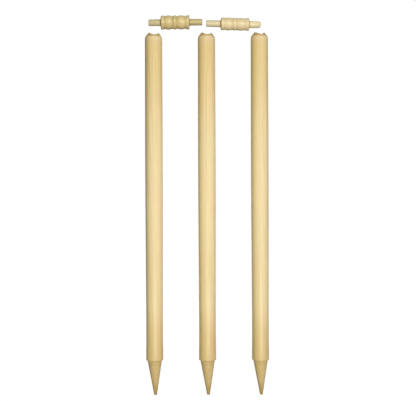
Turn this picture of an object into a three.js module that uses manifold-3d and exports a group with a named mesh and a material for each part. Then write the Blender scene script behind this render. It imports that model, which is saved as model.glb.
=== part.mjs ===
// Cricket stumps: three turned wooden stumps and the two bails that lie on top of them.
// Lengths are in millimetres and +Z is up. The origin lies on the middle stump's axis at ground
// level, where the shoulder of a driven stump meets the turf, so the spikes reach below it.
// +X runs along the wicket and the side seen in front looks towards -Y. The bails are shown
// lifted clear of the crowns, as they are taken off.

import * as THREE from 'three';
import { mergeVertices } from 'three/addons/utils/BufferGeometryUtils.js';
import Module from 'manifold-3d';

const wasm = await Module();
wasm.setup();

// The row of stumps
const stumpSpacing = 115;

// The shaft above the ground
const heightAboveGround = 711;
const crownDiameter = 37.6;
const bellyDiameter = 38.3;
const bellyHeight = 430;
const waistDiameter = 36.4;
const waistHeight = 55;
const shoulderDiameter = 37.2;
const shoulderBandHeight = 12;

// The crown, a bevelled end with a groove across it, turned a little from straight front to back
const crownTopDiameter = 22;
const crownBevelDepth = 10;
const crownRoundingRadius = 10;
const bailGrooveWidth = 20.6;
const bailGrooveDepth = 5;
const leftGrooveTurnDegrees = 12;
const middleGrooveTurnDegrees = 11;
const rightGrooveTurnDegrees = 18;

// The spike below the ground
const spikeLength = 76;
const spikeRootDiameter = 31.7;
const spikeTipDiameter = 6.4;
const spikeTipRounding = 1.6;
const turnedLineDrop = 10;
const turnedLineWidth = 1.4;
const turnedLineDepth = 0.45;

// The left bail
const leftBailShift = -9.7;
const leftBailLift = 15.5;
const leftBailTiltDegrees = -0.44;
const leftBailBarrelLength = 61.9;
const leftBailBarrelDiameter = 30.8;
const leftBailOuterSpigotLength = 26.75;
const leftBailOuterSpigotRootDiameter = 15;
const leftBailOuterSpigotEndDiameter = 14.1;
const leftBailInnerSpigotLength = 28.15;
const leftBailInnerSpigotRootDiameter = 14.4;
const leftBailInnerSpigotEndDiameter = 13.9;
const leftBailEndRounding = 1.1;

// The right bail
const rightBailShift = 1.2;
const rightBailLift = 11.2;
const rightBailTiltDegrees = 1.57;
const rightBailBarrelLength = 61.7;
const rightBailBarrelDiameter = 27.6;
const rightBailInnerSpigotLength = 31.6;
const rightBailInnerSpigotRootDiameter = 14.6;
const rightBailInnerSpigotEndDiameter = 14;
const rightBailInnerEndRounding = 1.7;
const rightBailOuterSpigotLength = 24.7;
const rightBailOuterSpigotRootDiameter = 15.6;
const rightBailOuterSpigotEndDiameter = 14.4;
const rightBailOuterEndRounding = 4;

// A bail's barrel, turned as two bulges with a bead between them: how far along the barrel each
// place lies, and how thick the barrel is there. Its square ends are as thick as the bulges.
const barrelShares = [
  { alongShare: 0.139, thickShare: 0.92 },
  { alongShare: 0.27, thickShare: 1 },
  { alongShare: 0.415, thickShare: 0.893 },
  { alongShare: 0.487, thickShare: 1 },
  { alongShare: 0.56, thickShare: 0.885 },
  { alongShare: 0.7, thickShare: 0.99 },
  { alongShare: 0.85, thickShare: 0.905 },
];
const barrelEdgeRounding = 2;

// How deep each bail's hollows are turned, next to the thicknesses above
const leftBailHollowShare = 1;
const rightBailHollowShare = 0.7;

// How finely round shapes are divided
const stumpSides = 36;
const bailSides = 28;
const grooveSides = 40;
const bandSteps = 4;
const shaftSteps = 4;
const crownRoundingSteps = 4;
const tipSteps = 3;
const barrelSteps = 3;
const endSteps = 3;
const barrelEdgeSteps = 2;
const cutterOverrun = 5;

// Points from one place on an outline to the next, the radius following half a cosine wave.
// The first place is left out, because the outline already holds it.
function easedPoints(from, to, steps) {
  const points = [];
  for (let step = 1; step <= steps; step += 1) {
    const share = step / steps;
    const easedShare = (1 - Math.cos(Math.PI * share)) / 2;
    const radius = THREE.MathUtils.lerp(from.x, to.x, easedShare);
    const place = THREE.MathUtils.lerp(from.y, to.y, share);
    points.push(new THREE.Vector2(radius, place));
  }
  return points;
}

// Points on an arc about a centre, from one angle to another, both ends included.
function arcPoints(centre, radius, fromAngle, toAngle, steps) {
  const points = [];
  for (let step = 0; step <= steps; step += 1) {
    const angle = THREE.MathUtils.lerp(fromAngle, toAngle, step / steps);
    const x = centre.x + radius * Math.cos(angle);
    const y = centre.y + radius * Math.sin(angle);
    points.push(new THREE.Vector2(x, y));
  }
  return points;
}

// The spike from its blunt tip up to the shoulder, with the turned line near its root.
function spikeOutline() {
  const tipRadius = spikeTipDiameter / 2;
  const rootRadius = spikeRootDiameter / 2;
  const roundingCentre = new THREE.Vector2(tipRadius - spikeTipRounding, spikeTipRounding - spikeLength);
  const coneStart = new THREE.Vector2(tipRadius, roundingCentre.y);
  const coneEnd = new THREE.Vector2(rootRadius, 0);
  const onCone = (height) => {
    const share = (height - coneStart.y) / (coneEnd.y - coneStart.y);
    return new THREE.Vector2().lerpVectors(coneStart, coneEnd, share);
  };
  const lineBottom = onCone(-turnedLineDrop - turnedLineWidth / 2);
  const lineMiddle = onCone(-turnedLineDrop);
  const lineTop = onCone(-turnedLineDrop + turnedLineWidth / 2);
  lineMiddle.x -= turnedLineDepth;
  return [
    new THREE.Vector2(0, -spikeLength),
    ...arcPoints(roundingCentre, spikeTipRounding, -Math.PI / 2, 0, tipSteps),
    lineBottom,
    lineMiddle,
    lineTop,
    coneEnd,
  ];
}

// The crown's rounded corner and bevel, from the top of the shaft to the middle of the top face.
function crownOutline() {
  const shaftRadius = crownDiameter / 2;
  const topRadius = crownTopDiameter / 2;
  const bevelTurn = Math.atan2(shaftRadius - topRadius, crownBevelDepth);
  const cornerHeight = heightAboveGround - crownBevelDepth;
  const tangentLength = crownRoundingRadius * Math.tan(bevelTurn / 2);
  const roundingCentre = new THREE.Vector2(shaftRadius - crownRoundingRadius, cornerHeight - tangentLength);
  return [
    ...arcPoints(roundingCentre, crownRoundingRadius, 0, bevelTurn, crownRoundingSteps),
    new THREE.Vector2(topRadius, heightAboveGround),
    new THREE.Vector2(0, heightAboveGround),
  ];
}

// The whole stump's outline: radius and height from the tip of the spike to the crown.
function stumpOutline() {
  const shoulder = new THREE.Vector2(shoulderDiameter / 2, 0);
  const bandTop = new THREE.Vector2(shoulderDiameter / 2, shoulderBandHeight);
  const waist = new THREE.Vector2(waistDiameter / 2, waistHeight);
  const belly = new THREE.Vector2(bellyDiameter / 2, bellyHeight);
  const crown = crownOutline();
  return [
    ...spikeOutline(),
    shoulder,
    bandTop,
    ...easedPoints(bandTop, waist, bandSteps),
    ...easedPoints(waist, belly, shaftSteps),
    ...easedPoints(belly, crown[0], shaftSteps),
    ...crown.slice(1),
  ];
}

// Turns an outline about the Y axis, and leaves only positions, with the shared points merged.
function turned(outline, sides) {
  const geometry = new THREE.LatheGeometry(outline, sides);
  geometry.deleteAttribute('normal');
  geometry.deleteAttribute('uv');
  return withoutSlivers(mergeVertices(geometry));
}

// Drops the triangles that have no area, which a lathe leaves where the outline meets the axis.
function withoutSlivers(geometry) {
  const corners = geometry.getIndex().array;
  const kept = [];
  for (let i = 0; i < corners.length; i += 3) {
    const [a, b, c] = corners.slice(i, i + 3);
    if (a !== b && b !== c && c !== a) {
      kept.push(a, b, c);
    }
  }
  geometry.setIndex(kept);
  return geometry;
}

function solidFrom(geometry) {
  const merged = geometry.clone();
  merged.deleteAttribute('normal');
  merged.deleteAttribute('uv');
  const closed = withoutSlivers(mergeVertices(merged));
  const mesh = new wasm.Mesh({
    numProp: 3,
    vertProperties: Float32Array.from(closed.getAttribute('position').array),
    triVerts: Uint32Array.from(closed.getIndex().array),
  });
  return new wasm.Manifold(mesh);
}

function geometryFrom(solid) {
  const mesh = solid.getMesh();
  const geometry = new THREE.BufferGeometry();
  geometry.setAttribute('position', new THREE.BufferAttribute(Float32Array.from(mesh.vertProperties), 3));
  geometry.setIndex(new THREE.BufferAttribute(Uint32Array.from(mesh.triVerts), 1));
  return geometry;
}

// The round cutter whose underside leaves the bail groove: a cylinder lying along Y whose lowest
// line is the groove's depth below the crown and which is as wide as the groove at the crown. It
// is then turned about the stump's axis, anticlockwise seen from above.
function grooveCutter(turnDegrees) {
  const halfWidth = bailGrooveWidth / 2;
  const radius = (halfWidth * halfWidth + bailGrooveDepth * bailGrooveDepth) / (2 * bailGrooveDepth);
  const length = crownDiameter + 2 * cutterOverrun;
  const cutter = new THREE.CylinderGeometry(radius, radius, length, grooveSides);
  cutter.translate(0, 0, heightAboveGround - bailGrooveDepth + radius);
  cutter.rotateZ(THREE.MathUtils.degToRad(turnDegrees));
  return cutter;
}

function stumpGeometry(grooveTurnDegrees) {
  const shaft = turned(stumpOutline(), stumpSides);
  shaft.rotateX(Math.PI / 2);
  return geometryFrom(solidFrom(shaft).subtract(solidFrom(grooveCutter(grooveTurnDegrees))));
}

// A spigot's outline from the middle of its end face to its root, its end's edge rounded.
function spigotOutline(length, rootDiameter, endDiameter, endRounding) {
  const endRadius = endDiameter / 2;
  const roundingCentre = new THREE.Vector2(endRadius - endRounding, endRounding);
  return [
    new THREE.Vector2(0, 0),
    ...arcPoints(roundingCentre, endRounding, -Math.PI / 2, 0, endSteps),
    new THREE.Vector2(rootDiameter / 2, length),
  ];
}

// The barrel's outline: square ends with rounded edges, and rounded hollows, bulges and a bead.
function barrelOutline(start, length, diameter, hollowShare) {
  const radius = diameter / 2;
  const edgeRadius = radius - barrelEdgeRounding;
  const startCentre = new THREE.Vector2(edgeRadius, start + barrelEdgeRounding);
  const endCentre = new THREE.Vector2(edgeRadius, start + length - barrelEdgeRounding);
  const startEdge = arcPoints(startCentre, barrelEdgeRounding, -Math.PI / 2, 0, barrelEdgeSteps);
  const endEdge = arcPoints(endCentre, barrelEdgeRounding, 0, Math.PI / 2, barrelEdgeSteps);
  const places = barrelShares.map(({ alongShare, thickShare }) => {
    return new THREE.Vector2(radius * (1 - (1 - thickShare) * hollowShare), start + alongShare * length);
  });
  const stops = [startEdge.at(-1), ...places, endEdge[0]];
  const points = [...startEdge];
  for (let i = 1; i < stops.length; i += 1) {
    points.push(...easedPoints(stops[i - 1], stops[i], barrelSteps));
  }
  return [...points, ...endEdge.slice(1)];
}

// A bail lying along X, its middle at the origin: a spigot, the barrel and the other spigot.
function bailGeometry({ firstSpigot, barrelLength, barrelDiameter, hollowShare, lastSpigot }) {
  const wholeLength = firstSpigot.length + barrelLength + lastSpigot.length;
  const first = spigotOutline(
    firstSpigot.length, firstSpigot.rootDiameter, firstSpigot.endDiameter, firstSpigot.endRounding,
  );
  const last = spigotOutline(
    lastSpigot.length, lastSpigot.rootDiameter, lastSpigot.endDiameter, lastSpigot.endRounding,
  );
  const mirrored = last.reverse().map((point) => new THREE.Vector2(point.x, wholeLength - point.y));
  const outline = [
    ...first,
    ...barrelOutline(firstSpigot.length, barrelLength, barrelDiameter, hollowShare),
    ...mirrored,
  ];
  const geometry = turned(outline, bailSides);
  geometry.translate(0, -wholeLength / 2, 0);
  geometry.rotateZ(-Math.PI / 2);
  return geometry;
}

// Pale oiled wood; the bails are the same wood, a little warmer.
function stumpWood() {
  return new THREE.MeshStandardMaterial({ color: 0xe8cd98, roughness: 0.5, metalness: 0 });
}

function bailWood() {
  return new THREE.MeshStandardMaterial({ color: 0xe2c795, roughness: 0.55, metalness: 0 });
}

function makeStump(name, place, grooveTurnDegrees) {
  const stump = new THREE.Mesh(stumpGeometry(grooveTurnDegrees), stumpWood());
  stump.name = name;
  stump.position.x = place * stumpSpacing;
  return stump;
}

// A bail over the gap between two stumps, its middle moved by a shift from the middle of the gap
// and its spigots lifted clear of the crowns.
function makeBail(name, geometry, gapMiddle, shift, lift, tiltDegrees, spigotDiameter) {
  const bail = new THREE.Mesh(geometry, bailWood());
  bail.name = name;
  bail.position.set(gapMiddle + shift, 0, heightAboveGround + lift + spigotDiameter / 2);
  bail.rotation.y = THREE.MathUtils.degToRad(tiltDegrees);
  return bail;
}

const leftBailGeometry = bailGeometry({
  firstSpigot: {
    length: leftBailOuterSpigotLength,
    rootDiameter: leftBailOuterSpigotRootDiameter,
    endDiameter: leftBailOuterSpigotEndDiameter,
    endRounding: leftBailEndRounding,
  },
  barrelLength: leftBailBarrelLength,
  barrelDiameter: leftBailBarrelDiameter,
  hollowShare: leftBailHollowShare,
  lastSpigot: {
    length: leftBailInnerSpigotLength,
    rootDiameter: leftBailInnerSpigotRootDiameter,
    endDiameter: leftBailInnerSpigotEndDiameter,
    endRounding: leftBailEndRounding,
  },
});

const rightBailGeometry = bailGeometry({
  firstSpigot: {
    length: rightBailInnerSpigotLength,
    rootDiameter: rightBailInnerSpigotRootDiameter,
    endDiameter: rightBailInnerSpigotEndDiameter,
    endRounding: rightBailInnerEndRounding,
  },
  barrelLength: rightBailBarrelLength,
  barrelDiameter: rightBailBarrelDiameter,
  hollowShare: rightBailHollowShare,
  lastSpigot: {
    length: rightBailOuterSpigotLength,
    rootDiameter: rightBailOuterSpigotRootDiameter,
    endDiameter: rightBailOuterSpigotEndDiameter,
    endRounding: rightBailOuterEndRounding,
  },
});

const wicket = new THREE.Group();
wicket.add(makeStump('stump_left', -1, leftGrooveTurnDegrees));
wicket.add(makeStump('stump_middle', 0, middleGrooveTurnDegrees));
wicket.add(makeStump('stump_right', 1, rightGrooveTurnDegrees));
wicket.add(makeBail(
  'bail_left', leftBailGeometry, -stumpSpacing / 2,
  leftBailShift, leftBailLift, leftBailTiltDegrees, leftBailOuterSpigotEndDiameter,
));
wicket.add(makeBail(
  'bail_right', rightBailGeometry, stumpSpacing / 2,
  rightBailShift, rightBailLift, rightBailTiltDegrees, rightBailInnerSpigotRootDiameter,
));

export default wicket;
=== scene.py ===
"""Cricket stumps: the looks of three turned wooden stumps and their two bails.

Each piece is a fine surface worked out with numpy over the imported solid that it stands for, and
each has its own material of solid wood, whose growth rings run through the piece. Lengths are in
metres. +Z is up, the front faces -Y, and height 0 is the ground line at the stumps' shoulders.
"""

import math

import bpy
import numpy as np
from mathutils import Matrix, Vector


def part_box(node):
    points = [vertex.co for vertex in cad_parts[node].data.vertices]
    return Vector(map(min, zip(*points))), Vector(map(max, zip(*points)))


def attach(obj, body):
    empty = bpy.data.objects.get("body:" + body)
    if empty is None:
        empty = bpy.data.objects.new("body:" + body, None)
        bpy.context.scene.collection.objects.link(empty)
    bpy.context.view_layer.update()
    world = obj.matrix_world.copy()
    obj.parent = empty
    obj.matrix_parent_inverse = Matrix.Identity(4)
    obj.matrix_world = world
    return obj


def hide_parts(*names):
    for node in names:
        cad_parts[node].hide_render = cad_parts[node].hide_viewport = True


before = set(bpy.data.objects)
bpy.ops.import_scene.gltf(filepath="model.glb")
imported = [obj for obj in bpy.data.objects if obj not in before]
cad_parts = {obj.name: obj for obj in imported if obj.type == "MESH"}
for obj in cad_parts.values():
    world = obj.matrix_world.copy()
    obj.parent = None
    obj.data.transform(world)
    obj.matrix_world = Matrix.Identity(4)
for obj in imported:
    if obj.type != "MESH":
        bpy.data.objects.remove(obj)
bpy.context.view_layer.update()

MM = 0.001

# The shaft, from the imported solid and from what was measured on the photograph
TIP_HEIGHT, CROWN_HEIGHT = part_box("stump_middle")[0].z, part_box("stump_middle")[1].z
BELLY_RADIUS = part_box("stump_middle")[1].x
BELLY_HEIGHT = 430 * MM
CROWN_RADIUS = 18.8 * MM
WAIST_RADIUS = 18.2 * MM
WAIST_HEIGHT = 55 * MM
SHOULDER_RADIUS = 18.6 * MM
SHOULDER_BAND_HEIGHT = 12 * MM

# The crown's bevel, and the groove that holds the ends of the bails
CROWN_TOP_RADIUS = 11 * MM
CROWN_BEVEL_DEPTH = 10 * MM
CROWN_ROUNDING = 10 * MM
GROOVE_HALF_WIDTH = 10.3 * MM
GROOVE_DEPTH = 5 * MM
GROOVE_EDGE_WEAR = 0.9 * MM

# The spike
SPIKE_ROOT_RADIUS = 15.85 * MM
SPIKE_TIP_RADIUS = 3.2 * MM
SPIKE_TIP_ROUNDING = 1.6 * MM
SPIKE_DRIFT = 1.6 * MM
LINE_DROP = 10 * MM
LINE_WIDTH = 1.4 * MM
LINE_DEPTH = 0.6 * MM

# How far each edge is worn, and how wide and deep a hollow is where the shade painted into it is as dark
# as it gets
EDGE_WEAR = 0.25 * MM
HOLLOW_REACH = 2 * MM
HOLLOW_DEPTH = 1 * MM

# How finely the surfaces are divided
OUTLINE_STEP = 0.1 * MM
LONGEST_STEP = 12 * MM
CROWN_STEP = 0.36 * MM
GROOVE_MARGIN = 2 * MM
BAIL_STEP = 0.8 * MM
BEND_PER_STEP = math.radians(5)
AVERAGED_POINTS = 9
STUMP_SIDES = 240
BAIL_SIDES = 144


def colour(red, green, blue):
    """A colour written as on a screen, 0 to 255, in the linear light that the shader works in."""
    share = np.array((red, green, blue)) / 255
    linear = np.where(share <= 0.04045, share / 12.92, ((share + 0.055) / 1.055) ** 2.4)
    return (*linear.tolist(), 1.0)


# Where each stump stands, how far its groove is turned from straight front to back, where the tree's
# heart lay across it, how far the heart wanders for each metre along, and how far apart the rings are
STUMPS = {
    "stump_left": {
        "place": -115 * MM, "groove_turn": math.radians(12),
        "heart": (62 * MM, 50 * MM), "lean": 0.03, "ring_spacing": 3.1 * MM,
    },
    "stump_middle": {
        "place": 0.0, "groove_turn": math.radians(11),
        "heart": (-30 * MM, 70 * MM), "lean": -0.022, "ring_spacing": 2.8 * MM,
    },
    "stump_right": {
        "place": 115 * MM, "groove_turn": math.radians(18),
        "heart": (45 * MM, -60 * MM), "lean": 0.026, "ring_spacing": 3.3 * MM,
    },
}
STUMP_TONES = {
    "light": colour(243, 222, 172), "dark": colour(222, 194, 138), "blush": colour(241, 213, 166),
}

# The two bails: the middle of each, how far it leans, its barrel and its two spigots, first the left
# one and last the right one. spigot_tones are what the wood's colour is multiplied by on each spigot,
# heart, lean and ring_spacing are as in a stump, fade is how much lighter the wood gets
# for each metre along, which paints shade on the left end, away from the light, and the tones are the
# wood between the rings, at the rings and in its warm patches.
BAILS = {
    "bail_left": {
        "middle": (-67.2 * MM, 0.0, 733.55 * MM),
        "tilt": math.radians(-0.44),
        "barrel_length": 61.9 * MM,
        "barrel_radius": 15.4 * MM,
        "hollow_share": 1.0,
        "first": {"length": 26.75 * MM, "root": 7.5 * MM, "end": 7.05 * MM, "rounding": 1.1 * MM},
        "last": {"length": 28.15 * MM, "root": 7.2 * MM, "end": 6.95 * MM, "rounding": 1.1 * MM},
        "spigot_tones": ((0.935, 1.02, 1.26), (0.725, 0.735, 0.65)),
        "heart": (9 * MM, 53.4 * MM), "lean": 0.03, "ring_spacing": 3.1 * MM, "fade": 1.2,
        "tones": {
            "light": colour(231, 210, 159), "dark": colour(200, 174, 114), "blush": colour(223, 200, 147),
        },
    },
    "bail_right": {
        "middle": (58.7 * MM, 0.0, 729.5 * MM),
        "tilt": math.radians(1.57),
        "barrel_length": 61.7 * MM,
        "barrel_radius": 13.8 * MM,
        "hollow_share": 0.7,
        "first": {"length": 31.6 * MM, "root": 7.3 * MM, "end": 7.0 * MM, "rounding": 1.7 * MM},
        "last": {"length": 24.7 * MM, "root": 7.8 * MM, "end": 7.2 * MM, "rounding": 4 * MM},
        "spigot_tones": ((0.91, 0.955, 1.01), (1.02, 1.08, 1.14)),
        "heart": (-12 * MM, 46 * MM), "lean": -0.05, "ring_spacing": 3.0 * MM, "fade": 0.4,
        "tones": {
            "light": colour(244, 225, 183), "dark": colour(216, 192, 143), "blush": colour(236, 212, 171),
        },
    },
}

# A barrel's hollows, bulges and bead: how far along it each place lies, and how thick it is there, as
# shares of its length and of its radius
BARREL_SHARES = np.array([
    (0.139, 0.92), (0.27, 1.0), (0.415, 0.893), (0.487, 1.0), (0.56, 0.885), (0.7, 0.99), (0.85, 0.905),
])

# How round a barrel's edges are at its left and right end, and over what length a spigot's tone begins
FIRST_EDGE_ROUNDING = 3.2 * MM
LAST_EDGE_ROUNDING = 2 * MM
SPIGOT_EDGE = 1 * MM


# Outlines

def arc(centre, radius, start, stop, count=16):
    """Points on an arc: the centre plus the radius times (cos a, sin a), a going from start to stop."""
    angle = np.linspace(start, stop, count)
    return np.column_stack((centre[0] + radius * np.cos(angle), centre[1] + radius * np.sin(angle)))


def eased(start, stop, count=24):
    """Points between two places, the radius easing over by the share (1 - cos(pi t)) / 2."""
    t = np.linspace(0, 1, count)
    radius = start[0] + (stop[0] - start[0]) * (1 - np.cos(math.pi * t)) / 2
    return np.column_stack((radius, start[1] + (stop[1] - start[1]) * t))


def along(outline):
    """How far along the outline each point lies: the running sum of the distances between points."""
    gaps = np.hypot(*np.diff(outline, axis=0).T)
    return np.concatenate(([0], np.cumsum(gaps)))


def worn(outline, wear):
    """The outline at even steps, its corners rounded by a Gaussian average of half-width wear.

    The average is cut off at four times that. The outline starts and ends on the axis, so it goes on
    there as its own mirror image.
    """
    outline = outline[np.concatenate(([True], along(outline)[1:] > along(outline)[:-1]))]
    distance = along(outline)
    even = np.linspace(0, distance[-1], int(distance[-1] / OUTLINE_STEP))
    points = np.column_stack([np.interp(even, distance, column) for column in outline.T])
    reach = int(4 * wear / OUTLINE_STEP)
    kernel = np.exp(-0.5 * (np.arange(-reach, reach + 1) * OUTLINE_STEP / wear) ** 2)
    mirror = np.array((-1, 1))
    before, after = points[reach:0:-1] * mirror, points[-2:-reach - 2:-1] * mirror
    padded = np.vstack((before, points, after))
    kernel = kernel / kernel.sum()
    smooth = np.column_stack([np.convolve(column, kernel, "valid") for column in padded.T])
    smooth[[0, -1], 0] = 0
    return smooth


def hollows(outline):
    """How deep each point of a worn outline lies in a hollow, as a share of HOLLOW_DEPTH from 0 to 1.

    The depth is a wide average of the radius, less the radius. The average is a Gaussian one of
    half-width HOLLOW_REACH, cut off at three times that, and the outline goes on beyond the axis as its
    own mirror image, so that a flat end has no hollow.
    """
    radius = outline[:, 0]
    reach = int(3 * HOLLOW_REACH / OUTLINE_STEP)
    kernel = np.exp(-0.5 * (np.arange(-reach, reach + 1) * OUTLINE_STEP / HOLLOW_REACH) ** 2)
    padded = np.concatenate((-radius[reach:0:-1], radius, -radius[-2:-reach - 2:-1]))
    depth = np.convolve(padded, kernel / kernel.sum(), "valid") - radius
    return np.clip(depth / HOLLOW_DEPTH, 0, 1)


def crowded(outline, longest_step):
    """Some of the outline's points, crowded where it bends.

    A step stays under longest_step, which may differ from point to point, and bends by no more than
    about BEND_PER_STEP. The bend is the change of heading, and the crowding is averaged over
    AVERAGED_POINTS points.
    """
    distance = along(outline[:, :2])
    heading = np.unwrap(np.arctan2(*np.gradient(outline[:, :2], axis=0).T))
    bend = np.abs(np.gradient(heading, distance))
    crowd = np.maximum(1 / longest_step, bend / BEND_PER_STEP)
    kernel = np.hanning(AVERAGED_POINTS)
    crowd = np.convolve(crowd, kernel / kernel.sum(), "same")
    tally = np.concatenate(([0], np.cumsum((crowd[1:] + crowd[:-1]) / 2 * np.diff(distance))))
    stations = np.linspace(0, tally[-1], int(tally[-1]) + 2)
    kept = np.interp(stations, tally, distance)
    return np.column_stack([np.interp(kept, distance, column) for column in outline.T])


def stump_outline():
    """Radius and height from the spike's tip to the middle of the crown, before any edge is worn.

    The tip and the crown's corner are arcs, the spike and the bevel are straight, a notch is the spike's
    fine line, and the shaft eases from its band to its waist, its belly and its crown.
    """
    tip_centre = (SPIKE_TIP_RADIUS - SPIKE_TIP_ROUNDING, TIP_HEIGHT + SPIKE_TIP_ROUNDING)
    cone = np.array(((SPIKE_TIP_RADIUS, tip_centre[1]), (SPIKE_ROOT_RADIUS, 0)))
    line_heights = -LINE_DROP + LINE_WIDTH / 2 * np.array((-1, 0, 1))
    line = np.column_stack((np.interp(line_heights, cone[:, 1], cone[:, 0]), line_heights))
    line[1, 0] -= LINE_DEPTH
    band = (SHOULDER_RADIUS, SHOULDER_BAND_HEIGHT)
    waist, belly = (WAIST_RADIUS, WAIST_HEIGHT), (BELLY_RADIUS, BELLY_HEIGHT)
    turn = math.atan2(CROWN_RADIUS - CROWN_TOP_RADIUS, CROWN_BEVEL_DEPTH)
    corner = CROWN_HEIGHT - CROWN_BEVEL_DEPTH - CROWN_ROUNDING * math.tan(turn / 2)
    crown = arc((CROWN_RADIUS - CROWN_ROUNDING, corner), CROWN_ROUNDING, 0, turn)
    return np.vstack((
        (0, TIP_HEIGHT), arc(tip_centre, SPIKE_TIP_ROUNDING, -math.pi / 2, 0), line, cone[1],
        (SHOULDER_RADIUS, 0), band, eased(band, waist), eased(waist, belly), eased(belly, crown[0]),
        crown, (CROWN_TOP_RADIUS, CROWN_HEIGHT), (0, CROWN_HEIGHT),
    ))


def spigot_outline(spigot):
    """Radius and distance from the middle of a spigot's end face to its root on the barrel.

    A flat face, an arc round its edge and a straight taper.
    """
    centre = (spigot["end"] - spigot["rounding"], spigot["rounding"])
    return np.vstack((
        (0, 0), arc(centre, spigot["rounding"], -math.pi / 2, 0), (spigot["root"], spigot["length"]),
    ))


def barrel_outline(radius, length, hollow_share):
    """Radius and distance along a barrel, whose square ends have rounded edges.

    A hollow is as deep as its share of the radius says, times the bail's own hollow share.
    """
    first_centre = (radius - FIRST_EDGE_ROUNDING, FIRST_EDGE_ROUNDING)
    last_centre = (radius - LAST_EDGE_ROUNDING, length - LAST_EDGE_ROUNDING)
    first = arc(first_centre, FIRST_EDGE_ROUNDING, -math.pi / 2, 0)
    last = arc(last_centre, LAST_EDGE_ROUNDING, 0, math.pi / 2)
    thickness = radius * (1 - (1 - BARREL_SHARES[:, 1]) * hollow_share)
    places = np.vstack((first[-1], np.column_stack((thickness, length * BARREL_SHARES[:, 0])), last[0]))
    waves = [eased(places[i], places[i + 1]) for i in range(len(places) - 1)]
    return np.vstack((first, *waves, last))


def bail_outline(bail):
    """Radius and distance from one end of a bail to the other: a spigot, the barrel and a spigot."""
    first, last = spigot_outline(bail["first"]), spigot_outline(bail["last"])
    barrel = barrel_outline(bail["barrel_radius"], bail["barrel_length"], bail["hollow_share"])
    barrel[:, 1] += bail["first"]["length"]
    length = bail["first"]["length"] + bail["barrel_length"] + bail["last"]["length"]
    last = last[::-1] * (1, -1) + (0, length)
    return np.vstack((first, barrel, last))


# Surfaces

def turned(outline, sides, origin, axis):
    """A grid of points round an axis: origin + axis * distance + radius * (u cos a + v sin a).

    A row of the grid is a ring, u and v are square to the axis and each other, and a is the angle.
    """
    axis = np.array(axis)
    v = np.array((0.0, 1.0, 0.0))
    u = np.cross(v, axis)
    angle = np.linspace(0, 2 * math.pi, sides, endpoint=False)[None, :, None]
    radius, distance = outline[:, 0, None, None], outline[:, 1, None, None]
    return np.array(origin) + axis * distance + radius * (u * np.cos(angle) + v * np.sin(angle))


def grooved(points, place, turn):
    """Sinks the crown into its groove: a height becomes the soft minimum of itself and the groove's arc.

    The arc is floor + R - sqrt(R^2 - x^2), x lying across the groove, and R follows from the groove's
    width and depth. The soft minimum of a and b is b + (a - b) h - w h (1 - h), with
    h = 1/2 + (b - a) / 2w kept between 0 and 1 and w the width of the worn edge.
    """
    curve = (GROOVE_HALF_WIDTH ** 2 + GROOVE_DEPTH ** 2) / (2 * GROOVE_DEPTH)
    x = (points[..., 0] - place) * math.cos(turn) + points[..., 1] * math.sin(turn)
    inside = np.clip(x / curve, -1, 1)
    groove = CROWN_HEIGHT - GROOVE_DEPTH + curve * (1 - np.sqrt(1 - inside ** 2))
    height = points[..., 2]
    share = np.clip(0.5 + (groove - height) / (2 * GROOVE_EDGE_WEAR), 0, 1)
    points[..., 2] = groove + (height - groove) * share - GROOVE_EDGE_WEAR * share * (1 - share)
    return points


def drifted(points):
    """Moves the spike's point off the axis: x grows by the drift times the share of the spike's depth."""
    share = np.clip(points[..., 2] / TIP_HEIGHT, 0, 1)
    points[..., 0] += SPIKE_DRIFT * share
    return points


def mesh_object(name, rings, hollow):
    """A closed piece from a grid whose rows are rings. The first and last rows close to a single point.

    hollow has one value for each ring, and goes into an attribute from which the wood paints shade into
    the turned hollows.
    """
    count, sides = rings.shape[0] - 2, rings.shape[1]
    vertices = np.vstack((rings[0, 0], rings[1:-1].reshape(-1, 3), rings[-1, 0]))
    corner = 1 + np.arange(count * sides).reshape(count, sides)
    after = np.roll(corner, -1, axis=1)
    quads = np.stack((corner[:-1], after[:-1], after[1:], corner[1:]), axis=-1).reshape(-1, 4)
    first = np.column_stack((np.zeros(sides, int), after[0], corner[0]))
    last = np.column_stack((np.full(sides, len(vertices) - 1), corner[-1], after[-1]))
    mesh = bpy.data.meshes.new(name)
    mesh.from_pydata(vertices.tolist(), [], quads.tolist() + first.tolist() + last.tolist())
    mesh.polygons.foreach_set("use_smooth", np.ones(len(mesh.polygons), bool))
    spread = np.concatenate((hollow[:1], np.repeat(hollow[1:-1], sides), hollow[-1:]))
    mesh.attributes.new("hollow", "FLOAT", "POINT").data.foreach_set("value", spread.astype(np.float32))
    mesh.update()
    piece = bpy.data.objects.new(name, mesh)
    bpy.context.scene.collection.objects.link(piece)
    return piece


# Materials

class Socket:
    """One output of a shader node. Python's operators on it add Math nodes."""

    def __init__(self, tree, output):
        self.tree = tree
        self.output = output

    def __getitem__(self, name):
        """Another output of the same node."""
        return Socket(self.tree, self.output.node.outputs[name])

    def math(self, operation, *values):
        """Adds a Math node that does this operation on the values."""
        return self.tree.node("ShaderNodeMath", {"operation": operation}, values)

    def __add__(self, other):
        return self.math("ADD", self, other)

    def __sub__(self, other):
        return self.math("SUBTRACT", self, other)

    def __rsub__(self, other):
        return self.math("SUBTRACT", other, self)

    def __mul__(self, other):
        return self.math("MULTIPLY", self, other)

    def __truediv__(self, other):
        return self.math("DIVIDE", self, other)

    def __pow__(self, other):
        return self.math("POWER", self, other)

    def __mod__(self, other):
        return self.math("FLOORED_MODULO", self, other)

    def __abs__(self):
        return self.math("ABSOLUTE", self)

    __radd__ = __add__
    __rmul__ = __mul__


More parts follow.
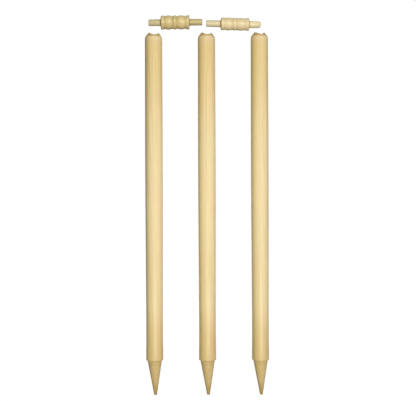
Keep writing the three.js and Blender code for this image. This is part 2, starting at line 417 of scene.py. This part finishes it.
class Shader:
    """A node tree that is being written."""

    def __init__(self, owner):
        owner.use_nodes = True
        self.tree = owner.node_tree
        self.tree.nodes.clear()

    def node(self, kind, settings=(), values=()):
        """Adds a node: its settings first, then its sockets' values or links, by name or in order."""
        made = self.tree.nodes.new(kind)
        for name, value in dict(settings).items():
            if name == "stops":
                self.set_stops(made.color_ramp, value)
            else:
                setattr(made, name, value)
        named = values.items() if isinstance(values, dict) else enumerate(values)
        for key, value in named:
            if isinstance(value, Socket):
                self.tree.links.new(value.output, made.inputs[key])
            else:
                made.inputs[key].default_value = value
        return Socket(self, made.outputs[0]) if made.outputs else None

    def set_stops(self, ramp, stops):
        """Gives a ramp its stops: positions and grey values."""
        for i, (position, value) in enumerate(stops):
            stop = ramp.elements[i] if i < 2 else ramp.elements.new(position)
            stop.position = position
            stop.color = (value, value, value, 1)

    def vector(self, operation, *values):
        """Adds a Vector Math node that does this operation on the values."""
        return self.node("ShaderNodeVectorMath", {"operation": operation}, values)

    def stretched(self, vector, share):
        """Coordinates in which a pattern comes out drawn along z, 1 / share times as long as wide."""
        return self.vector("MULTIPLY", vector, (1, 1, share))

    def noise(self, vector, scale, detail=2.0, roughness=0.5):
        """Smooth noise, about 0.5 on average, with features 1 / scale metres across."""
        values = {"Vector": vector, "Scale": scale, "Detail": detail, "Roughness": roughness}
        return self.node("ShaderNodeTexNoise", {}, values)

    def blend(self, share, first, second):
        """Mixes two colours by a share."""
        return self.node("ShaderNodeMix", {"data_type": "RGBA"}, {0: share, 6: first, 7: second})[2]

    def rise(self, value, low, high):
        """0 below low, 1 above high, and the smooth step 3 s^2 - 2 s^3 of the share s between them."""
        values = {"Value": value, "From Min": low, "From Max": high}
        return self.node("ShaderNodeMapRange", {"interpolation_type": "SMOOTHSTEP"}, values)


# How strongly the dark tone shows across a growth ring, from one line of late wood to the next
RING_STOPS = ((0.0, 0.75), (0.06, 1.0), (0.3, 0.35), (0.82, 0.05), (1.0, 0.75))

# How many features each pattern of the grain has in a metre across it, and what share of that number
# it has in a metre along it
SLOW_STRETCH, BEND_SCALE, DRIFT_SCALE = 0.18, 22, 9
FIBRE_SCALE, FIBRE_STRETCH = 1500, 0.025
STREAK_SCALE, STREAK_STRETCH = 260, 0.02
PATCH_SCALE, PATCH_STRETCH = 60, 0.16
PORE_SCALE, PORE_STRETCH = 2600, 0.06

# How far the rings bend, in metres and in rings, from what noise on the pores and the warm patches
# begin and are full, and how strong the patches get
BEND_REACH = 6 * MM
DRIFT_REACH = 2.2
PORE_FROM, PORE_FULL = 0.6, 0.72
PATCH_FROM, PATCH_FULL = 0.42, 0.68
PATCH_SHARE = 0.7

# How much the grain does to the shade, the roughness and the relief
FIBRE_SHADE, STREAK_SHADE, PORE_SHADE = 0.16, 0.14, 0.16
GREEN_POWER, BLUE_POWER = 1.25, 2.1
FIBRE_ROUGHNESS, END_GRAIN_ROUGHNESS = 0.12, 0.18
FIBRE_RELIEF, RING_RELIEF, PORE_RELIEF = 0.6, 0.25, 0.8
RELIEF_STRENGTH = 0.5
RELIEF_DEPTH = 0.06 * MM

# Oiled wood has little gloss of its own. Where it is rubbed, a broad satin sheen lies over it.
WOOD_GLOSS = 0.05
SHEEN_ROUGHNESS = 0.34
SHEEN_IOR = 3.0
STUMP_ROUGHNESS = 0.34
BAIL_ROUGHNESS = 0.46

# How light a stump's wood is by height in mm, where 1 is as its tones say: darker and browner towards
# the spike's point, a little dark just above the ground, lightest at the middle, a painted highlight as
# a pale band at the lower edge of the crown's bevel, and darker over the bevel itself
TONES_AND_BEVEL_HIGHLIGHT_BY_HEIGHT = (
    (-76, 0.44), (-60, 0.57), (-46, 0.71), (-1, 0.745), (0.5, 0.875), (22, 0.905), (60, 0.955),
    (130, 0.98), (240, 1.033), (347, 1.05), (456, 1.03), (565, 1.025), (650, 1.02), (692, 1.01),
    (698, 1.055), (700, 1.035), (702.5, 0.92), (705, 0.86), (711, 0.88),
)
TONE_AND_BEVEL_HIGHLIGHT_STOPS = [
    ((height * MM - TIP_HEIGHT) / (CROWN_HEIGHT - TIP_HEIGHT), tone) for height, tone in TONES_AND_BEVEL_HIGHLIGHT_BY_HEIGHT
]

# Below the ground line the wood is bare and rougher, and the edge of its darker tone runs up and down
# with the streaks of the grain. Near the foot and in the upper part, hands have browned it, and over the
# crown a paler, bluer tint paints the whitish sheen. A pair of heights says where a change begins and
# where it is complete.
GROUND_EDGE = (-1 * MM, 0.5 * MM)
DARK_EDGE_REACH = 20 * MM
BARE_ROUGHNESS = 0.12
HANDLED = (0.913, 0.865, 0.755)
HANDLED_FOOT = (50 * MM, 125 * MM)
HANDLED_TOP = (450 * MM, 680 * MM)
CROWN_PAINTED_SHEEN_TINT = (1.0, 1.045, 1.2)
CROWN_PAINTED_SHEEN_HEIGHTS = (679 * MM, 702 * MM)

# A stump's sheen near its foot and over its crown, and how much rougher it gets on the way up
FOOT_SHEEN = 0.18
FOOT_SHEEN_HEIGHTS = (20 * MM, 260 * MM)
CROWN_SHEEN = 0.12
CROWN_SHEEN_HEIGHTS = (CROWN_HEIGHT - 12 * MM, CROWN_HEIGHT - 6 * MM)
ROUGHER_BY = 0.14
ROUGHER_HEIGHTS = ((0.05 * CROWN_HEIGHT, 0.45 * CROWN_HEIGHT), (0.45 * CROWN_HEIGHT, CROWN_HEIGHT))


def wood(name, grain, tones, rough):
    """Solid, oiled pale wood. The grain's rings, fibres and pores run through the whole piece.

    The grain gives a point on the piece's axis, the axis and the turn that lays it along local z, where
    the tree's heart lay across the grain, how far it wanders across for each metre along, the spacing of
    the rings and how strongly they show. fade is how much lighter the wood gets for each
    metre along, which paints shade on the end away from the light, and spigots gives for each spigot how
    far along its root lies, which way it points and what its colour is multiplied by. end_from and
    end_full say how squarely a surface has to be cut across the axis to show end grain, and
    end_shade how much darker that is: the end grain's own darker tone, and painted shade on
    the rims and bevels. hollow_shade is how much shade is painted into the turned hollows. sheen
    is the satin coat's weight, and in_ground says that the piece stands in the turf. The tones are the
    wood between the rings, at the rings and in its warm patches, and rough is its roughness.
    """
    material = bpy.data.materials.new(name)
    g = Shader(material)
    placed = g.node("ShaderNodeTexCoord")
    values = {"Vector": placed["Object"], "Location": grain["middle"], "Rotation": grain["turn"]}
    local = g.node("ShaderNodeMapping", {"vector_type": "TEXTURE"}, values)
    hollow = g.node("ShaderNodeAttribute", {"attribute_name": "hollow"})["Fac"]
    facing = abs(g.vector("DOT_PRODUCT", placed["Normal"], grain["axis"])["Value"])
    # Surfaces cut across the grain: their own darker end grain, together with painted shade on rims and
    # bevels
    end_grain = g.rise(facing, grain["end_from"], grain["end_full"])

    # Growth rings about the heart, bent by slow noise
    slow = g.stretched(local, SLOW_STRETCH)
    bent = g.vector("SUBTRACT", g.noise(slow, BEND_SCALE)["Color"], (0.5, 0.5, 0.5))
    wandering = g.node("ShaderNodeSeparateXYZ", {}, [
        g.vector("ADD", local, g.vector("MULTIPLY", bent, (BEND_REACH, BEND_REACH, 0))),
    ])
    across = wandering["X"] - grain["heart"][0] + wandering["Z"] * grain["lean"]
    beside = wandering["Y"] - grain["heart"][1]
    rings = (across * across + beside * beside) ** 0.5 / grain["ring_spacing"]
    rings = rings + g.noise(slow, DRIFT_SCALE) * DRIFT_REACH
    ring = g.node("ShaderNodeValToRGB", {"stops": RING_STOPS}, [rings % 1.0])

    # Fibres, broad streaks, warm patches and pores, all drawn out along the grain
    fibre = g.noise(g.stretched(local, FIBRE_STRETCH), FIBRE_SCALE, detail=3, roughness=0.6) - 0.5
    streak = g.noise(g.stretched(local, STREAK_STRETCH), STREAK_SCALE) - 0.5
    patch = g.noise(g.stretched(local, PATCH_STRETCH), PATCH_SCALE)
    pores = g.noise(g.stretched(local, PORE_STRETCH), PORE_SCALE, detail=1)
    pores = g.rise(pores, PORE_FROM, PORE_FULL) * ring

    base = g.blend(ring * grain["ring_depth"], tones["light"], tones["dark"])
    base = g.blend(g.rise(patch, PATCH_FROM, PATCH_FULL) * PATCH_SHARE, base, tones["blush"])
    shade = 1 + fibre * FIBRE_SHADE + streak * STREAK_SHADE - pores * PORE_SHADE
    # The turned hollows get painted shade, darker the deeper they lie
    shade = shade * (1 - end_grain * grain["end_shade"]) * (1 - hollow * grain["hollow_shade"])
    roughness = rough + fibre * FIBRE_ROUGHNESS + end_grain * END_GRAIN_ROUGHNESS
    sheen = grain["sheen"]
    if grain["in_ground"]:
        height = g.node("ShaderNodeSeparateXYZ", {}, [placed["Object"]])["Z"]
        bare = 1 - g.rise(height, *GROUND_EDGE)
        handled = 1 - g.rise(height, *HANDLED_FOOT) + g.rise(height, *HANDLED_TOP) - bare
        base = g.blend(handled, base, g.vector("MULTIPLY", base, HANDLED))
        # Over the crown a paler, bluer tint paints the whitish sheen there
        base = g.blend(g.rise(height, *CROWN_PAINTED_SHEEN_HEIGHTS), base, g.vector("MULTIPLY", base, CROWN_PAINTED_SHEEN_TINT))
        ragged = height + streak * DARK_EDGE_REACH * bare
        # By height this also paints a highlight as a pale band at the lower edge of the crown's bevel
        shade = shade * g.node("ShaderNodeValToRGB", {"stops": TONE_AND_BEVEL_HIGHLIGHT_STOPS}, [
            (ragged - TIP_HEIGHT) / (CROWN_HEIGHT - TIP_HEIGHT),
        ])
        roughness = roughness + bare * BARE_ROUGHNESS
        sheen = sheen + FOOT_SHEEN * (1 - g.rise(height, *FOOT_SHEEN_HEIGHTS))
        sheen = sheen + CROWN_SHEEN * g.rise(height, *CROWN_SHEEN_HEIGHTS)
        for heights in ROUGHER_HEIGHTS:
            roughness = roughness + g.rise(height, *heights) * ROUGHER_BY

    # A piece may get lighter towards one end, which paints shade on the end away from the light,
    # and a spigot has a tone of its own
    lengthways = g.node("ShaderNodeSeparateXYZ", {}, [local])["Z"]
    shade = shade * (1 + lengthways * grain["fade"])
    for root, way, tone in grain["spigots"]:
        spigot = g.rise(lengthways * way, root * way, root * way + SPIGOT_EDGE)
        base = g.blend(spigot, base, g.vector("MULTIPLY", base, tone))

    # Darker wood is browner, so a shade takes more from the green and most from the blue
    tint = g.node("ShaderNodeCombineXYZ", {}, [shade, shade ** GREEN_POWER, shade ** BLUE_POWER])
    relief = fibre * FIBRE_RELIEF - ring * RING_RELIEF - pores * PORE_RELIEF
    bump = g.node("ShaderNodeBump", {}, {
        "Strength": RELIEF_STRENGTH, "Distance": RELIEF_DEPTH, "Height": relief,
    })
    surface = g.node("ShaderNodeBsdfPrincipled", {}, {
        "Base Color": g.vector("MULTIPLY", base, tint), "Roughness": roughness, "Normal": bump,
        "Specular IOR Level": WOOD_GLOSS,
        "Coat Weight": sheen, "Coat Roughness": SHEEN_ROUGHNESS, "Coat IOR": SHEEN_IOR,
    })
    g.node("ShaderNodeOutputMaterial", {}, {"Surface": surface})
    return material


# Pieces

def finish_piece(name, rings, hollow, material):
    """Makes a piece of these rings, which hides its CAD node, rides on its body and has its finish."""
    piece = mesh_object(name + "_turned", rings, hollow)
    piece.data.materials.append(material)
    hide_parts(name)
    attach(piece, name)


def make_stump(name, stump):
    """A whole stump: its outline turned about its axis, its crown grooved and its spike drifted."""
    outline = worn(stump_outline(), EDGE_WEAR)
    near_crown = outline[:, 1] > CROWN_HEIGHT - CROWN_BEVEL_DEPTH - GROOVE_MARGIN
    longest_step = np.where(near_crown, CROWN_STEP, LONGEST_STEP)
    rings = crowded(np.column_stack((outline, hollows(outline))), longest_step)
    points = turned(rings, STUMP_SIDES, (stump["place"], 0, 0), (0, 0, 1))
    points = drifted(grooved(points, stump["place"], stump["groove_turn"]))
    grain = {
        "middle": (stump["place"], 0, 0), "axis": (0, 0, 1), "turn": (0, 0, 0), "in_ground": True,
        "heart": stump["heart"], "lean": stump["lean"], "ring_spacing": stump["ring_spacing"],
        "ring_depth": 0.36, "fade": 0.0, "spigots": (),
        "end_from": 0.3, "end_full": 0.75, "end_shade": 0.2, "hollow_shade": 0.35, "sheen": 0.0,
    }
    material = wood(name + "_wood", grain, STUMP_TONES, STUMP_ROUGHNESS)
    finish_piece(name, points, rings[:, 2], material)


def make_bail(name, bail):
    """A whole bail, turned about its leaning axis (cos t, 0, -sin t), with t the tilt."""
    outline = worn(bail_outline(bail), EDGE_WEAR)
    rings = crowded(np.column_stack((outline, hollows(outline))), np.full(len(outline), BAIL_STEP))
    axis = np.array((math.cos(bail["tilt"]), 0, -math.sin(bail["tilt"])))
    points = turned(rings, BAIL_SIDES, bail["middle"] - axis * outline[-1, 1] / 2, axis)
    barrel_start = bail["first"]["length"] - outline[-1, 1] / 2
    barrel_end = barrel_start + bail["barrel_length"]
    grain = {
        "middle": bail["middle"], "axis": tuple(axis), "turn": (0, math.pi / 2 + bail["tilt"], 0),
        "in_ground": False,
        "heart": bail["heart"], "lean": bail["lean"], "ring_spacing": bail["ring_spacing"],
        "ring_depth": 0.8, "fade": bail["fade"],
        "spigots": tuple(zip((barrel_start, barrel_end), (-1, 1), bail["spigot_tones"])),
        "end_from": 0.35, "end_full": 0.9, "end_shade": 0.42, "hollow_shade": 0.62, "sheen": 0.07,
    }
    material = wood(name + "_wood", grain, bail["tones"], BAIL_ROUGHNESS)
    finish_piece(name, points, rings[:, 2], material)


for name, stump in STUMPS.items():
    make_stump(name, stump)
for name, bail in BAILS.items():
    make_bail(name, bail)


# Camera, lights and floor

# The picture's width in pixels, how much of the stumps a pixel covers, where the camera stands, how far
# it leans to one side, and its sensor's width in mm
PHOTO_WIDTH = 416
PIXEL = 2.1745 * MM
CAMERA_DISTANCE = 2.2
CAMERA_LEAN = math.radians(0.22)
CAMERA_PLACE = (2.1 * MM, -CAMERA_DISTANCE, 346.2 * MM)
SENSOR = 36.0


def make_camera():
    """A camera level with the middle of the stumps, at the photograph's scale and slight lean."""
    data = bpy.data.cameras.new("camera")
    data.sensor_width = SENSOR
    data.sensor_fit = "HORIZONTAL"
    data.lens = SENSOR * CAMERA_DISTANCE / (PHOTO_WIDTH * PIXEL)
    camera = bpy.data.objects.new("camera", data)
    camera.location = CAMERA_PLACE
    camera.rotation_euler = (math.pi / 2, CAMERA_LEAN, 0)
    bpy.context.scene.collection.objects.link(camera)
    bpy.context.scene.camera = camera


AIM = np.array((0.0, 0.0, 0.36))
FOOT = np.array((0.0, 0.0, 0.03))


def make_light(name, azimuth, elevation, distance, size, level, tint=(1, 1, 1), aim=AIM, spread=math.pi,
               reflected=True):
    """A soft rectangular light that faces the stumps. Azimuth goes from the front towards +X.

    level is the brightness that it gives to a white surface that faces it, so its power is the level
    times pi squared times the distance squared. A narrower spread gathers the light on what it aims at,
    so the power is then smaller: times 1 - h / tan h, with h half the spread. A light that isn't
    reflected lights the wood but makes no gloss on it.
    """
    data = bpy.data.lights.new(name, "AREA")
    data.shape = "RECTANGLE"
    data.size, data.size_y = size
    data.color = tint
    data.energy = level * (math.pi * distance) ** 2 * (1 - spread / 2 / math.tan(spread / 2))
    data.spread = spread
    light = bpy.data.objects.new(name, data)
    a, e = math.radians(azimuth), math.radians(elevation)
    outward = np.array((math.sin(a) * math.cos(e), -math.cos(a) * math.cos(e), math.sin(e)))
    light.location = aim + outward * distance
    light.rotation_euler = (math.pi / 2 - e, 0, a)
    light.visible_camera = False
    light.visible_glossy = reflected
    bpy.context.scene.collection.objects.link(light)


AMBIENT = (0.02, 0.021, 0.014, 1)
WHITE = (1, 1, 1, 1)


def shown_white(g):
    """1 for the rays that look at the background: the camera's, and those of a reflection or of glass."""
    path = g.node("ShaderNodeLightPath")
    return path["Is Camera Ray"] + path["Is Glossy Ray"] + path["Is Transmission Ray"]


def make_world():
    """White behind the object where it is seen, and a dim light all round for everything else."""
    world = bpy.data.worlds.new("surroundings")
    bpy.context.scene.world = world
    g = Shader(world)
    background = g.node("ShaderNodeBackground", {}, [g.blend(shown_white(g), AMBIENT, WHITE), 1.0])
    g.node("ShaderNodeOutputWorld", {}, {"Surface": background})


FLOOR_HEIGHT = TIP_HEIGHT - 0.3 * MM
FLOOR_HALF_SIZE = 6.0
FLOOR_SHADOW = 0.3
FLOOR_LIGHT_LEVEL = 0.36
FLOOR_PALE = (0.18, 0.18, 0.16, 1)
FLOOR_NEAR, FLOOR_FAR = 0.7, 2.4


def make_floor():
    """A plain pale floor under the spikes, which is seen as white with a faint shadow.

    Near the stumps, the lamps' light on it and its own glow add up to white where no shadow falls. Far
    from them it is plain white. To the light that bounces off it, it is pale and dim everywhere.
    """
    half = FLOOR_HALF_SIZE
    corners = [(-half, -half), (half, -half), (half, half), (-half, half)]
    mesh = bpy.data.meshes.new("floor")
    mesh.from_pydata([(x, y, FLOOR_HEIGHT) for x, y in corners], [], [(0, 1, 2, 3)])
    floor = bpy.data.objects.new("floor", mesh)
    bpy.context.scene.collection.objects.link(floor)
    material = bpy.data.materials.new("floor_pale")
    g = Shader(material)
    centre = g.node("ShaderNodeTexCoord")["Object"]
    far = g.rise(g.vector("LENGTH", centre)["Value"], FLOOR_NEAR, FLOOR_FAR)
    pale = g.node("ShaderNodeBsdfDiffuse", {}, [FLOOR_PALE])
    shadowed = g.node("ShaderNodeBsdfDiffuse", {}, [(FLOOR_SHADOW,) * 3 + (1,)])
    glow = g.node("ShaderNodeEmission", {}, [WHITE, 1 - FLOOR_SHADOW * FLOOR_LIGHT_LEVEL])
    near = g.node("ShaderNodeAddShader", {}, [shadowed, glow])
    white = g.node("ShaderNodeEmission", {}, [WHITE, 1.0])
    seen = g.node("ShaderNodeMixShader", {}, [far, near, white])
    surface = g.node("ShaderNodeMixShader", {}, [shown_white(g), pale, seen])
    g.node("ShaderNodeOutputMaterial", {}, {"Surface": surface})
    mesh.materials.append(material)


make_camera()
make_world()
make_floor()

# The two keys are tinted against each other: together they are nearly neutral, and the left edges, which
# the first one lights more, turn yellower than the right ones
make_light(
    "key_left", azimuth=0, elevation=7, distance=4, size=(0.7, 1.4), level=0.46,
    tint=(1, 1, 0.64),
)
make_light(
    "key_right", azimuth=21, elevation=7, distance=4, size=(0.7, 1.4), level=0.56,
    tint=(0.8, 0.8, 1),
)
make_light(
    "low_front", azimuth=9, elevation=-1, distance=2.3, size=(1.0, 0.12), level=0.115,
    aim=FOOT, spread=math.radians(40),
)
make_light("high_front", azimuth=4, elevation=48, distance=2.3, size=(0.3, 0.3), level=0.03)
make_light("overhead", azimuth=180, elevation=65, distance=2.2, size=(1.4, 1.4), level=0.05)
make_light("crown_front", azimuth=4, elevation=76, distance=2.3, size=(0.3, 0.3), level=0.02)
for name, azimuth, level in (("back", 180, 0.4), ("back_right", 145, 0.3), ("back_left", -148, 0.26)):
    make_light(name, azimuth, elevation=3, distance=4, size=(0.8, 0.8), level=level, reflected=False)

bpy.context.scene.view_settings.view_transform = "Standard"
